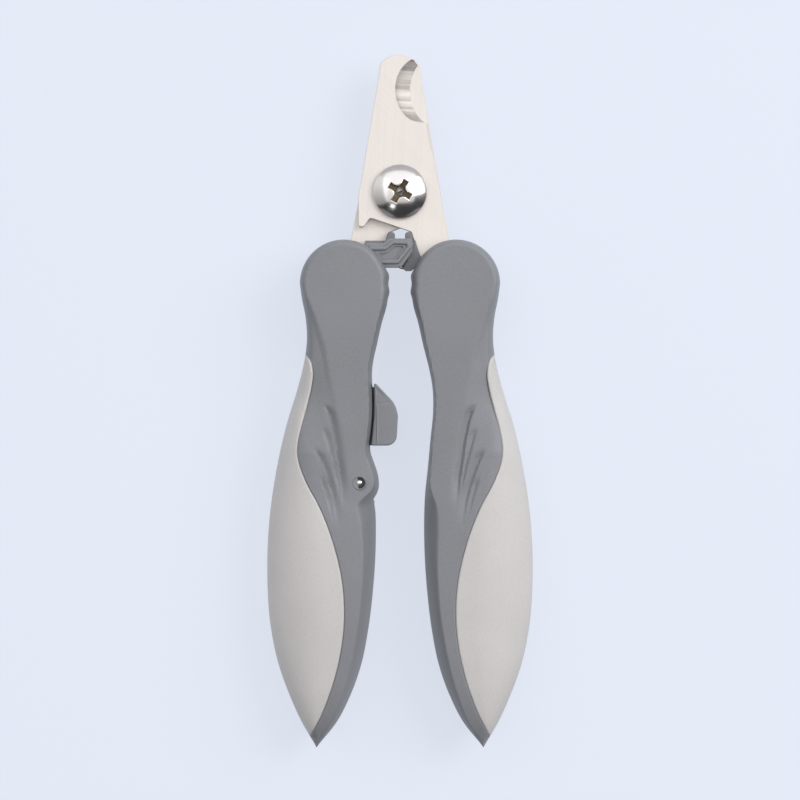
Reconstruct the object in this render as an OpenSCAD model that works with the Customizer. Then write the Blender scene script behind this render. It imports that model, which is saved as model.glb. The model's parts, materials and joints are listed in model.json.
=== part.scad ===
// Scissor nail clipper for pets: two blades on one pivot, two moulded handles with soft
// grips, a return spring under cover arms, and a lock lever in the left handle.
// It lies flat: +X right, +Y towards the blade tips, +Z up through its thickness.

/* [Blades] */
// Distance from the pivot to the blade tips
blade_l = 29.7; // [24:0.1:38]
// Thickness of each blade
blade_t = 2; // [1.5:0.05:2.5]
// Half the width of the blades beside the pivot
blade_hw = 9; // [8:0.1:11]
// Height of the claw notch in each blade
notch_h = 14; // [10:0.5:15]

/* [Handles] */
// Distance from a handle's head centre down to its tail
handle_l = 100.4; // [80:0.1:125]
// Thickness of a handle at its belly
handle_t = 17; // [16:0.5:22]
// Radius of the round handle heads
head_r = 9.55; // [8.6:0.05:11]
// Distance from the centre line to a head's centre
head_x = 12.15; // [11.5:0.05:14]
// Distance from the pivot down to the head centres
head_drop = 19.9; // [19:0.1:23]
// Thickness of the soft grip skin
grip_skin = 1.5; // [1:0.1:2.2]

/* [Pivot] */
// Radius of the pivot screw's shank
shank_r = 3; // [2.4:0.1:3.8]
// Radius of the screw head and of the nut
dome_r = 5.9; // [5:0.1:7]
// Height of the domed screw head
dome_h = 2.6; // [2:0.1:3]

/* [Lock lever] */
// Thickness of the lever plate
lever_t = 3; // [2.2:0.1:3.6]
// Angle the lever swings to reach its catch
lever_swing = 28; // [24:1:30]
// Radius of the lever's pivot pin and of the catch pin
pin_r = 1; // [0.8:0.05:1.2]
// Distance from the lever's pin to the catch pin
hook_reach = 36; // [35:0.1:37]

/* [Return spring] */
// Outer radius of the spring coil
spring_r = 2.4; // [2:0.1:2.6]
// Diameter of the spring wire
wire_d = 0.6; // [0.4:0.05:0.7]
// Coils in the spring
spring_turns = 4.5; // [3:0.5:6]

/* [Fits] */
// Radial running clearance on pins and screws
run_gap = 0.05; // [0.02:0.01:0.1]
// Clearance between fixed pieces
fit_gap = 0.05; // [0.02:0.01:0.15]
// Clearance between a grip skin and its shell
skin_gap = 0.12; // [0.05:0.01:0.2]

/* [Hidden] */
$fn = 64;

// The pivot is the working origin; place() moves it into the resting frame.
total_l = blade_l + head_drop + handle_l;
pivot_y = total_l / 2 - blade_l;
mid_z = handle_t / 2;

plastic = "#6f757b";
soft = "#c6c8c8";
steel = "#e2dfda";

// Handle outline, as offsets from the head's centre line at fractions of handle_l.
outer_edge = [
  [0, head_r], [0.05, 8.55], [0.1, 8.05], [0.15, 8.25], [0.2, 9.45], [0.3, 12.35], [0.4, 14.65],
  [0.5, 16.15], [0.6, 16.75], [0.7, 16.45], [0.8, 14.85], [0.9, 11.45], [0.95, 9.1], [1, 6.4]
];
plain_inner = [
  [0, -head_r], [0.05, -9.3], [0.1, -7.85], [0.15, -6.8], [0.2, -5.55], [0.3, -5.05],
  [0.4, -6.15], [0.5, -6.95], [0.6, -6.65], [0.7, -6.05], [0.8, -4.25], [0.9, -0.95],
  [0.95, 1.6], [1, 5.6]
];
lever_inner = [
  [0, -head_r], [0.05, -9.3], [0.1, -7.85], [0.15, -6.8], [0.2, -6.25], [0.3, -6.2],
  [0.36, -6.2], [0.4, -7.3], [0.43, -7.9], [0.45, -7.8], [0.465, -7], [0.5, -6.95], [0.6, -6.65],
  [0.7, -6.05], [0.8, -4.25], [0.9, -0.95], [0.95, 1.6], [1, 5.6]
];
grip_edge = [
  [0.15, 8], [0.2, 6.8], [0.25, 7.85], [0.3, 9.25], [0.35, 10.25], [0.4, 9.45], [0.45, 7.05],
  [0.5, 4.45], [0.55, 2.45], [0.6, 1.05], [0.7, -0.15], [0.8, 0.85], [0.9, 3.55], [0.95, 5.85],
  [1, 8]
];
// Half thickness as a share of the belly's, and the corner exponent of the section.
thickness = [[0, 0.97], [0.15, 0.9], [0.3, 0.93], [0.5, 1], [0.7, 0.96], [0.85, 0.78], [1, 0.3]];
squareness = [[0, 0.36], [0.1, 0.42], [0.3, 0.75], [0.5, 0.85], [1, 0.9]];

head_angles = [84, 66, 48, 30, 12];
handle_fractions = [
  0.02, 0.06, 0.1, 0.14, 0.17, 0.2, 0.24, 0.28, 0.32, 0.36, 0.4, 0.43, 0.45, 0.465, 0.5, 0.55,
  0.6, 0.65, 0.7, 0.75, 0.8, 0.85, 0.9, 0.94, 0.97, 1
];
grip_fractions = [for (t = handle_fractions) if (t > 0.16 && t < 0.98) t];
inner_steps = 7;
outer_steps = 6;
least_grip_w = 0.8;
thin_step = 0.05;

head_y = -head_drop;
pad_r = head_r - 2.2;
pad_h = 1;

// Pivot screw, with its cross recess, washer and domed nut.
washer_t = 0.3;
washer_r = dome_r - 0.7;
nut_t = 2.4;
nut_r = dome_r - 0.4;
nut_floor = 0.8;
thread_r = shank_r - 0.9;
thread_z = nut_floor - blade_t - nut_t;
seat_z = blade_t + washer_t;
dome_rim = 0.6;
cross_angles = [60, 150];
cross_w = 1;
cross_l = 4.9;
cross_depth = 1.4;

// Cone-shaped blade with round shoulders at the tip.
tip_r = 3;
tip_hw = 4.5;
notch_y = blade_l - 7.6;
notch_a = 5.5;
notch_face_x = -1;
notch_edge_x = 2.3;
notch_side = 16;
notch_undercut = 0.6;
lobe_r = 0.9;
lobe_edge = [
  [1.8 - blade_hw, head_y + 12.9], [2.7 - blade_hw, head_y + 14.2], [0, head_y + 12.2],
  [2.4, head_y + 11.3], [3, head_y + 9.6]
];
flank_edge = [[10.4, head_y + 10.5], [blade_hw - 0.1, -1.6]];
back_edge = [[1 - blade_hw, 5.8], [-blade_hw, -1]];
tang_in = head_x + 1.05;
tang_out = head_x + 6.25;
tang_end = head_y - 17;
tang_bend = head_y - 2.8;
rivet_r = 1.2;
rivet_x = (tang_in + tang_out) / 2;
rivet_drops = [6, 13];
rivet_half_l = handle_t / 2 - 3;

// The lever pin and the catch in the other handle.
lever_x = -head_x + 3.45;
lever_y = head_y - 43;
boss_r = 3.6;
hook_r = 2.6;
stem_w = 3.6;
catch_angle = lever_swing - 1;
catch_x = lever_x + hook_reach * sin(catch_angle);
catch_y = lever_y + hook_reach * cos(catch_angle);
rest_angle = catch_angle - lever_swing;
slot_half = lever_t / 2 + 0.2;
slot_side = 0.5;
mouth_gap = 0.2;
tab_half_t = 4.3;
tab_in = -(head_x - 6.2) + 0.3;
catch_half_l = slot_half + 2;
catch_slot_x = 1;
catch_slot_low = catch_y - 10;
catch_slot_high = catch_y + hook_r + 2.4;
catch_slot_far = catch_x + hook_r + 1.6;
web_y = [-22.4, -34.6, -36];
tab_edge = [
  [tab_in, -35], [tab_in, -22.6], [-1.3, -26.3], [-0.5, -27.4], [-0.3, -28.6], [-0.7, -32.4]
];
tab_corner = [-3, -32.7];
tab_corner_r = 2.3;

// Spring seats, posts and cover arms between the heads.
seat_face = 3.4;
seat_back = 6.5;
seat_y = [head_y + 3.2, head_y + 9.3];
ledge_t = 0.8;
post_r = 0.65;
post_x = 1.65;
post_top = head_y + 10.4;
spring_y = head_y + 5.9;
seat_low = blade_t + 0.5;
arm_low = blade_t + 0.8;
arm_t = 1.8;
rib_h = 0.5;
rib_w = 0.9;
rib_path = [[-5, 8], [-3.4, 8], [-1.4, 9], [1.6, 9], [2.1, 8], [-0.6, 4.5], [-3.2, 4.5]];
peg_r = spring_r - wire_d - 0.4;
peg_l = 1.8;

function interval(tab, t, i = 0) =
  (i >= len(tab) - 2 || t <= tab[i + 1][0]) ? i : interval(tab, t, i + 1);
function slope(tab, i) =
  let (a = max(i - 1, 0), b = min(i + 1, len(tab) - 1))
  (tab[b][1] - tab[a][1]) / (tab[b][0] - tab[a][0]);
// Smooth curve through a table of [fraction, value] points.
function fair(tab, t) =
  let (
    i = interval(tab, t),
    w = tab[i + 1][0] - tab[i][0],
    u = (t - tab[i][0]) / w,
    rise = tab[i + 1][1] - tab[i][1],
    m = slope(tab, i) * w,
    n = slope(tab, i + 1) * w
  ) tab[i][1] + u * (m + u * (3 * rise - 2 * m - n + u * (m + n - 2 * rise)));

// A station is [y, middle x, half width, half thickness, squareness, grip edge x, skin].
function head_station(a) =
  let (round_off = pow(1 - pow(sin(a), 8), 1 / 8), hw = head_r * cos(a))
  [
    head_y + head_r * sin(a), head_x, hw, mid_z * thickness[0][1] * round_off,
    squareness[0][1], head_x + hw - min(least_grip_w, hw / 2), thin_step
  ];
function handle_station(t, inner) =
  let (
    xo = head_x + fair(outer_edge, t),
    xi = head_x + fair(inner, t),
    xb = head_x + fair(grip_edge, max(t, 0.15)),
    gripped = t > 0.16 && t < 0.98,
    room = min(least_grip_w, (xo - xi) / 3)
  )
  [
    head_y - handle_l * t, (xo + xi) / 2, (xo - xi) / 2, mid_z * fair(thickness, t),
    fair(squareness, t), gripped ? min(xb, xo - room) : xo - room, gripped ? grip_skin : thin_step
  ];
function stations(inner) = concat(
  [for (a = head_angles) head_station(a)],
  [for (t = handle_fractions) handle_station(t, inner)]
);

function power(v, e) = sign(v) * pow(abs(v), e);
// The angle round the section at which it meets the grip's edge.
function edge_angle(s) = acos(power((s[1] - s[5]) / s[2], 1 / s[4]));
// A point of the section, set in from the surface by depth.
function section_point(s, phi, depth) =
  let (d = min(depth, s[2] * 0.6, s[3] * 0.6))
  [s[1] - (s[2] - d) * power(cos(phi), s[4]), s[0], (s[3] - d) * power(sin(phi), s[4])];
function shell_ring(s) =
  let (b = edge_angle(s))
  concat(
    [for (k = [0:inner_steps]) section_point(s, b * k / inner_steps, 0)],
    [for (k = [0:outer_steps]) section_point(s, b + (180 - b) * k / outer_steps, s[6])]
  );
function grip_ring(s) =
  let (b = edge_angle(s), n = 2 * outer_steps)
  concat(
    [for (k = [0:n]) section_point(s, b + (360 - 2 * b) * k / n, 0)],
    [for (k = [n:-1:0]) section_point(s, b + (360 - 2 * b) * k / n, s[6] - skin_gap)]
  );

// Closed solid through rings of equal point counts.
module sweep(rings) {
  n = len(rings[0]);
  m = len(rings);
  sides = [
    for (j = [0:m - 2], i = [0:n - 1])
      let (k = (i + 1) % n)
        each [[j * n + i, j * n + k, (j + 1) * n + i], [j * n + k, (j + 1) * n + k, (j + 1) * n + i]]
  ];
  caps = [[for (i = [n - 1:-1:0]) i], [for (i = [0:n - 1]) (m - 1) * n + i]];
  polyhedron(points = [for (r = rings) each r], faces = concat(sides, caps), convexity = 6);
}

module place() {
  translate([0, pivot_y, mid_z]) children();
}

// The other side of the tool: half a turn about the long axis.
module turned() {
  rotate([0, 180, 0]) children();
}

function arc_points(cx, cy, r, a0, a1, n) =
  [for (k = [0:n]) let (a = a0 + (a1 - a0) * k / n) [cx + r * cos(a), cy + r * sin(a)]];

// Tang outline from the blade down into the handle, grown by a clearance.
function tang_points(c) = [
  [4.1 - c, head_y + 6.1], [6 - c, head_y + 1.6], [tang_in - c, tang_bend - 1.5],
  [tang_in - c, tang_end - c], [tang_out + c, tang_end - c], [tang_out + c, tang_bend],
  [10.4 + c, head_y + 10.5], [10.1 + c, head_y + 12], [3 - c, head_y + 12], [3 - c, head_y + 9.6]
];

// Front blade in the plane, its tang on the right.
module blade_outline() {
  polygon(concat(
    arc_points(tip_hw - tip_r, blade_l - tip_r, tip_r, 0, 90, 6),
    arc_points(tip_r - tip_hw, blade_l - tip_r, tip_r, 90, 180, 6),
    back_edge,
    arc_points(lobe_r - blade_hw, head_y + 13.2, lobe_r, 180, 270, 4),
    lobe_edge,
    flank_edge
  ));
  polygon(tang_points(0));
}

function notch_ring(x, a, b, z) = concat(
  [for (k = [0:16]) let (p = 90 + 180 * k / 16) [x + a + a * cos(p), notch_y + b * sin(p), z]],
  [[notch_side, notch_y - b, z], [notch_side, notch_y + b, z]]
);
module notch_cutter() {
  lap = 0.05;
  sweep([
    notch_ring(notch_face_x, notch_a, notch_h / 2, blade_t + lap),
    notch_ring(notch_edge_x, notch_a, notch_h / 2 + notch_undercut, -lap)
  ]);
}

module blade() {
  difference() {
    translate([0, 0, fit_gap / 2]) linear_extrude(blade_t - fit_gap / 2) blade_outline();
    notch_cutter();
    translate([0, 0, -1]) cylinder(h = blade_t + 2, r = shank_r + run_gap);
    for (d = rivet_drops)
      translate([rivet_x, head_y - d, -1]) cylinder(h = blade_t + 2, r = rivet_r + fit_gap);
  }
}

// Front half of a right-hand handle, with its landing pad on the head.
module half_shell(inner) {
  sweep([for (s = stations(inner)) shell_ring(s)]);
  translate([head_x, head_y, mid_z - pad_h]) cylinder(h = pad_h, r = pad_r);
}

module rivet_holes() {
  for (d = rivet_drops)
    translate([rivet_x, head_y - d, -rivet_half_l - fit_gap])
      cylinder(h = 2 * (rivet_half_l + fit_gap), r = rivet_r + fit_gap);
}

// Slot that hides the lever in the left handle, seen as the left side.
module lever_slot() {
  far = lever_x - boss_r - slot_side;
  low = lever_y - boss_r - slot_side;
  high = lever_y + hook_reach + hook_r + slot_side;
  translate([far, low, -slot_half]) cube([-far, high - low, 2 * slot_half]);
}

// Slot in the right handle that takes the hook.
module catch_slot() {
  translate([catch_slot_x, catch_slot_low, -slot_half])
    cube([catch_slot_far - catch_slot_x, catch_slot_high - catch_slot_low, 2 * slot_half]);
}

module tang_pocket() {
  translate([0, 0, -fit_gap]) linear_extrude(blade_t + 2 * fit_gap) polygon(tang_points(2 * fit_gap));
}

module pin_holes(x, y, r, half) {
  translate([x, y, -half]) cylinder(h = 2 * half, r = r);
}

module left_shell_cuts() {
  lever_slot();
  mirror([1, 0, 0]) rivet_holes();
  pin_holes(lever_x, lever_y, pin_r + fit_gap, handle_t);
}

module right_shell_cuts() {
  catch_slot();
  rivet_holes();
  pin_holes(catch_x, catch_y, pin_r + fit_gap, catch_half_l + fit_gap);
}

module left_front_shell() {
  color(plastic) place() difference() {
    mirror([1, 0, 0]) half_shell(lever_inner);
    left_shell_cuts();
  }
}

module left_back_shell() {
  color(plastic) place() difference() {
    turned() half_shell(lever_inner);
    turned() tang_pocket();
    left_shell_cuts();
  }
}

module right_front_shell() {
  color(plastic) place() difference() {
    half_shell(plain_inner);
    tang_pocket();
    right_shell_cuts();
  }
}

module right_back_shell() {
  color(plastic) place() difference() {
    mirror([0, 0, 1]) half_shell(plain_inner);
    right_shell_cuts();
  }
}

module soft_grip(inner) {
  sweep([for (t = grip_fractions) grip_ring(handle_station(t, inner))]);
}

module left_soft_grip() {
  color(soft) place() mirror([1, 0, 0]) soft_grip(lever_inner);
}

module right_soft_grip() {
  color(soft) place() soft_grip(plain_inner);
}

module front_blade() {
  color(steel) place() blade();
}

module rear_blade() {
  color(steel) place() turned() blade();
}

module tang_rivets() {
  for (d = rivet_drops)
    translate([rivet_x, head_y - d, -rivet_half_l]) cylinder(h = 2 * rivet_half_l, r = rivet_r);
}

module left_tang_rivets() {
  color(steel) place() mirror([1, 0, 0]) tang_rivets();
}

module right_tang_rivets() {
  color(steel) place() tang_rivets();
}

// Left-hand seat block with its spring peg and the post that lines the tang.
module spring_seat() {
  difference() {
    union() {
      translate([-seat_back, seat_y[0], -seat_low])
        cube([seat_back - seat_face, seat_y[1] - seat_y[0], seat_low + arm_low]);
      translate([-seat_face, spring_y, 0]) rotate([0, 90, 0]) cylinder(h = peg_l, r = peg_r);
      translate([-seat_face - 0.2, seat_y[1] - ledge_t, -blade_t])
        cube([seat_face + 0.2 - post_x + post_r, ledge_t, 2 * blade_t]);
      translate([-post_x - post_r, seat_y[1] - ledge_t, -blade_t])
        cube([2 * post_r, post_top - seat_y[1] + ledge_t, 2 * blade_t]);
      translate([-post_x, post_top, -blade_t]) cylinder(h = 2 * blade_t, r = post_r);
    }
    turned() tang_pocket();
    translate([-head_x, head_y, -handle_t]) cylinder(h = 2 * handle_t, r = head_r + fit_gap);
  }
}

module left_spring_seat() {
  color(plastic) place() spring_seat();
}

module right_spring_seat() {
  color(plastic) place() turned() spring_seat();
}

function arm_outline() = [
  [-seat_back, head_y + 8.7], [-3.6, head_y + 8.7], [-2.5, head_y + 9.7], [1.8, head_y + 9.7],
  [2.5, head_y + 9.3], [2.8, head_y + 8.7], [2.7, head_y + 7.4], [2.3, head_y + 6.5],
  [0.65, head_y + 3.8], [-0.2, head_y + 3.4], [-seat_back, head_y + 3.4]
];
// The path's corners moved sideways by d along their mitres.
function beside(path, d) = [
  for (k = [0:len(path) - 1])
    let (
      a = path[k] - path[max(k - 1, 0)],
      b = path[min(k + 1, len(path) - 1)] - path[k],
      u = k == 0 ? b / norm(b) : a / norm(a),
      v = k == len(path) - 1 ? u : b / norm(b),
      mid = (u + v) / (1 + u * v)
    ) [path[k][0] - d * mid[1], head_y + path[k][1] + d * mid[0]]
];

// Flat arm over the spring with a raised C-shaped rib.
module cover_arm() {
  difference() {
    union() {
      translate([0, 0, arm_low]) linear_extrude(arm_t - rib_h) polygon(arm_outline());
      translate([0, 0, arm_low + rib_h]) linear_extrude(arm_t - rib_h) polygon(concat(
        beside(rib_path, rib_w / 2),
        [for (k = [len(rib_path) - 1:-1:0]) beside(rib_path, -rib_w / 2)[k]]
      ));
    }
    translate([-head_x, head_y, -handle_t]) cylinder(h = 2 * handle_t, r = head_r + fit_gap);
  }
}

module left_cover_arm() {
  color(plastic) place() cover_arm();
}

module right_cover_arm() {
  color(plastic) place() turned() cover_arm();
}

module lock_pin() {
  half = mid_z * 0.86;
  color(steel) place() translate([lever_x, lever_y, -half]) cylinder(h = 2 * half, r = pin_r);
}

module catch_pin() {
  color(steel) place()
    translate([catch_x, catch_y, -catch_half_l]) cylinder(h = 2 * catch_half_l, r = pin_r);
}

// Spherical cap on a short cylinder.
module dome(r, h) {
  rise = h - dome_rim;
  ball = (r * r + rise * rise) / (2 * rise);
  cylinder(h = dome_rim, r = r);
  intersection() {
    translate([0, 0, h - ball]) sphere(r = ball);
    cylinder(h = h, r = r);
  }
}

module pivot_screw() {
  color(steel) place() {
    difference() {
      translate([0, 0, seat_z]) dome(dome_r, dome_h);
      for (a = cross_angles)
        rotate([0, 0, a]) translate([-cross_l / 2, -cross_w / 2, seat_z + dome_h - cross_depth])
          cube([cross_l, cross_w, dome_h]);
    }
    translate([0, 0, -blade_t]) cylinder(h = blade_t + seat_z, r = shank_r);
    translate([0, 0, thread_z]) cylinder(h = nut_t, r = thread_r);
  }
}

module pivot_washer() {
  color(steel) place() translate([0, 0, blade_t]) difference() {
    cylinder(h = washer_t, r = washer_r);
    translate([0, 0, -1]) cylinder(h = washer_t + 2, r = shank_r + run_gap);
  }
}

module pivot_nut() {
  color(steel) place() translate([0, 0, -blade_t]) difference() {
    turned() dome(nut_r, nut_t);
    translate([0, 0, nut_floor - nut_t - fit_gap]) cylinder(h = nut_t, r = thread_r + fit_gap);
  }
}

// Coil between the two seats, from a wire circle carried along a helix.
module return_spring() {
  wire_r = wire_d / 2;
  coil_r = spring_r - wire_r;
  reach = seat_face - wire_r - 0.05;
  steps = 16 * spring_turns;
  color(steel) place() translate([0, spring_y, 0]) sweep([
    for (k = [0:steps])
      let (a = 360 * spring_turns * k / steps, x = -reach + 2 * reach * k / steps)
        [
          for (q = [0:5])
            let (r = coil_r + wire_r * cos(60 * q))
              [x + wire_r * sin(60 * q), r * cos(a), r * sin(a)]
        ]
  ]);
}

// Lever in its parked place: boss on the pin, stem, hook and thumb tab.
module lock_lever() {
  hook_x = lever_x + hook_reach * sin(rest_angle);
  hook_y = lever_y + hook_reach * cos(rest_angle);
  mouth = pin_r + mouth_gap;
  color(plastic) place() {
    difference() {
      union() {
        translate([lever_x, lever_y, -lever_t / 2]) {
          cylinder(h = lever_t, r = boss_r);
          rotate([0, 0, -rest_angle]) translate([-stem_w / 2, 0, 0])
            cube([stem_w, hook_reach, lever_t]);
        }
        translate([hook_x, hook_y, -lever_t / 2]) cylinder(h = lever_t, r = hook_r);
        translate([0, head_y, -lever_t / 2]) linear_extrude(lever_t)
          polygon([
            [lever_x, web_y[0]], [tab_in + 1, web_y[0]], [tab_in + 1, web_y[1]], [lever_x, web_y[2]]
          ]);
        tab();
      }
      pin_holes(lever_x, lever_y, pin_r + run_gap, lever_t);
      translate([hook_x, hook_y, -lever_t]) cylinder(h = 2 * lever_t, r = mouth);
      translate([lever_x, lever_y, -lever_t]) rotate([0, 0, -rest_angle]) intersection() {
        difference() {
          cylinder(h = 2 * lever_t, r = hook_reach + mouth);
          translate([0, 0, -1]) cylinder(h = 2 * lever_t + 2, r = hook_reach - mouth);
        }
        translate([0, hook_reach - 2 * hook_r, 0]) cube([2 * hook_r, 4 * hook_r, 2 * lever_t]);
      }
    }
  }
}

module tab() {
  translate([0, head_y, -tab_half_t]) linear_extrude(2 * tab_half_t) polygon(concat(
    tab_edge,
    arc_points(tab_corner[0], tab_corner[1], tab_corner_r, 0, -90, 4)
  ));
}

left_front_shell();
left_back_shell();
left_soft_grip();
rear_blade();
left_tang_rivets();
left_spring_seat();
left_cover_arm();
lock_pin();
pivot_screw();
pivot_washer();
pivot_nut();
right_front_shell();
right_back_shell();
right_soft_grip();
front_blade();
right_tang_rivets();
right_spring_seat();
right_cover_arm();
catch_pin();
return_spring();
lock_lever();
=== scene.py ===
"""Scissor nail clipper: closed, lying flat on a pale surface, seen from straight above."""

import json
import math

import bmesh
import bpy
import numpy as np
from mathutils.geometry import delaunay_2d_cdt
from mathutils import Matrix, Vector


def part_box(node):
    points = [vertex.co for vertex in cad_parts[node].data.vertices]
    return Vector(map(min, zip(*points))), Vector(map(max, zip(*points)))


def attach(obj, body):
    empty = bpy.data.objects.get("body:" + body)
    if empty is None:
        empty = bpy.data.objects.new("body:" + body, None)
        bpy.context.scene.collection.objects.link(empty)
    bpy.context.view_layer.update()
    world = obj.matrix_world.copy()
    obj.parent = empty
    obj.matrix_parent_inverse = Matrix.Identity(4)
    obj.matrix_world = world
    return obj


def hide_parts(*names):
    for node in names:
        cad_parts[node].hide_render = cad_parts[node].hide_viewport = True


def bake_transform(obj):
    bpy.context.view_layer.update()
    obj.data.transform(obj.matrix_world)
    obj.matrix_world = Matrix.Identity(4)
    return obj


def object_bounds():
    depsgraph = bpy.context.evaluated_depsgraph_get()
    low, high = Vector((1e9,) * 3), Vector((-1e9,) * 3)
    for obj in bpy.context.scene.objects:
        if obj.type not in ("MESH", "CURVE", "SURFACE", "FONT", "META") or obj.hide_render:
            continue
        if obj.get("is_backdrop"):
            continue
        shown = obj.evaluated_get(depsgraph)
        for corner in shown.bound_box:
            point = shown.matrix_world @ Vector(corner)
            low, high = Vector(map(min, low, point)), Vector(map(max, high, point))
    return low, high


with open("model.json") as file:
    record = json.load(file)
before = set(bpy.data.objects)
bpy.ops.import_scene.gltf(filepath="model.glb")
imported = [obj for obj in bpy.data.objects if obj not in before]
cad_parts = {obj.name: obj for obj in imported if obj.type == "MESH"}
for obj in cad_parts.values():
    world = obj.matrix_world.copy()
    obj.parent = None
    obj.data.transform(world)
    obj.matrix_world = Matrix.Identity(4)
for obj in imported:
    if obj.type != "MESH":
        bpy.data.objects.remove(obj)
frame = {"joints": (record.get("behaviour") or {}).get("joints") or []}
cad_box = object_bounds()

# ---------------------------------------------------------------- stage
# A plain pale table, a camera straight above it, and square soft lamps: a wide one overhead,
# one on the left, a stronger one on the right, and a small low one for a glint on the screw.
MM = 0.001
JOINT_SPOTS = {joint["name"]: joint["pos_m"] for joint in frame["joints"]}
MID = JOINT_SPOTS["blade_pivot"][2]
LIFT = (0, 0, MID / MM)
CAMERA_HEIGHT = 0.62
VIEW_WIDTH = 0.1739
TABLE_HALF = 2
TABLE_COLOUR = (0.784, 0.831, 0.93, 1)


def shader_node(tree, kind, inputs=None, **settings):
    """Adds a node with its settings; inputs fills sockets, by name or number, from a value or
    from another node's output."""
    made = tree.nodes.new(kind)
    for name, value in settings.items():
        setattr(made, name, value)
    sockets = [s for s in made.inputs if s.enabled]
    for key, value in (inputs or {}).items():
        named = [s for s in sockets if s.name == key]
        socket = sockets[key] if isinstance(key, int) else named[0]
        if isinstance(value, bpy.types.NodeSocket):
            tree.links.new(value, socket)
        else:
            socket.default_value = value
    return made


def new_material(name, **surface):
    """A material with one Principled shader, and its settings filled in."""
    material = bpy.data.materials.new(name)
    material.use_nodes = True
    shader = material.node_tree.nodes["Principled BSDF"]
    for label, value in surface.items():
        shader.inputs[label.replace("_", " ")].default_value = value
    return material, material.node_tree, shader


table_mesh = bpy.data.meshes.new("table")
table_signs = ((-1, -1), (1, -1), (1, 1), (-1, 1))
table_corners = [(TABLE_HALF * x, TABLE_HALF * y, 0) for x, y in table_signs]
table_mesh.from_pydata(table_corners, [], [(0, 1, 2, 3)])
table = bpy.data.objects.new("table", table_mesh)
bpy.context.scene.collection.objects.link(table)
table_paint, *_ = new_material(
    "pale_table", Base_Color=(0.14, 0.148, 0.166, 1), Roughness=0.9,
    Emission_Color=TABLE_COLOUR, Emission_Strength=0.79, Specular_IOR_Level=0.05,
)
table_mesh.materials.append(table_paint)
table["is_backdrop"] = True

camera_data = bpy.data.cameras.new("camera")
camera = bpy.data.objects.new("camera", camera_data)
camera.location = (0, 0.0002, CAMERA_HEIGHT + MID)
camera_data.lens = camera_data.sensor_width * CAMERA_HEIGHT / VIEW_WIDTH
camera_data.clip_start = 0.01
bpy.context.scene.collection.objects.link(camera)
bpy.context.scene.camera = camera


def soft_lamp(name, place, size, power):
    """A square area lamp that faces the middle of the tool."""
    lamp_data = bpy.data.lights.new(name, "AREA")
    lamp_data.size = size
    lamp_data.energy = power
    lamp = bpy.data.objects.new(name, lamp_data)
    lamp.location = place
    aim = -lamp.location
    lamp.rotation_euler = aim.to_track_quat("-Z", "Y").to_euler()
    bpy.context.scene.collection.objects.link(lamp)


soft_lamp("overhead_lamp", (0.0, 0.35, 1.1), 2.2, 11.6)
soft_lamp("left_lamp", (-0.9, 0.15, 0.4), 1.3, 1.9)
soft_lamp("right_lamp", (0.64, 0.3, 0.62), 0.6, 5.7)
soft_lamp("low_lamp", (-0.3, -0.5, 0.72), 0.14, 0.2)
world = bpy.data.worlds.new("studio")
world.use_nodes = True
bpy.context.scene.world = world
world_tree = world.node_tree
sky = shader_node(
    world_tree, "ShaderNodeSeparateXYZ",
    {0: world_tree.nodes.new("ShaderNodeTexCoord").outputs["Generated"]},
).outputs["Y"]
glow = shader_node(
    world_tree, "ShaderNodeMapRange",
    {"Value": sky, "From Min": -0.35, "From Max": 0.35, "To Min": 0.06, "To Max": 0.62},
).outputs[0]
world_tree.nodes["Background"].inputs["Color"].default_value = (0.93, 0.95, 1, 1)
world_tree.links.new(glow, world_tree.nodes["Background"].inputs["Strength"])
bpy.context.scene.view_settings.view_transform = "Standard"

# ---------------------------------------------------------------- handle shells
# Each handle is a front and a back half moulded in slate-grey plastic with a fine matt grain,
# closed round the blade's tang. Where the soft grip sits, the halves are stepped down.
# Lengths are in millimetres: x out from the centre line, y along the tool, z from mid-height.
HEAD_Y, HEAD_R = 25.4, 9.55
TAIL_Y = round(cad_box[0][1] / MM, 2)
OUTER = [
    (-75, 18.25), (-70, 21.2), (-64, 23.95), (-57, 26.45), (-50, 27.95), (-37, 28.85),
    (-25, 28.3), (-15, 26.85), (-5, 24.6), (3, 22.15), (8, 20.9), (13.5, 20.2), (18.5, 20.55),
    (22, 21.25), (25.4, 21.7),
]
INNER = [
    (-75, 17.95), (-70, 13.9), (-64, 10.8), (-57, 8.35), (-50, 6.95), (-42, 5.95), (-30, 5.25),
    (-21, 5.4), (-14, 6.1), (-8, 6.65), (-2, 7.2), (2.5, 7.1), (7, 6.3), (12, 5.05), (17, 3.95),
    (21, 2.85), (25.4, 2.6),
]
LEVER_INNER = [
    (-75, 17.95), (-70, 13.9), (-64, 10.8), (-57, 8.35), (-50, 6.95), (-42, 5.95), (-30, 5.25),
    (-24, 5.35), (-22, 5.55), (-21, 5.35), (-20.3, 4.95), (-19.4, 4.6), (-17.6, 4.5),
    (-15.5, 4.85), (-13.3, 5.6), (-11, 6.35), (-9.6, 6.45), (-7, 6.1), (-3, 5.75), (0, 5.75),
    (2.4, 5.85), (4.5, 6), (7, 5.98), (9.5, 5.6), (12, 5.05), (17, 3.95), (21, 2.85), (25.4, 2.6),
]
GRIP_EDGE = [
    (-72.9, 19.75), (-68.6, 17.35), (-62, 14.75), (-55.7, 13.05), (-47.6, 12), (-38.9, 12.4),
    (-31.3, 14.1), (-23, 17.2), (-17.2, 20.3), (-12.8, 21.9), (-10.6, 22.15), (-8.5, 22),
    (-6, 21.5), (-2, 20.4), (3.5, 19), (5.7, 18.75), (8.2, 19.35), (9.6, 20.1), (10.4, 20.7),
]
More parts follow.
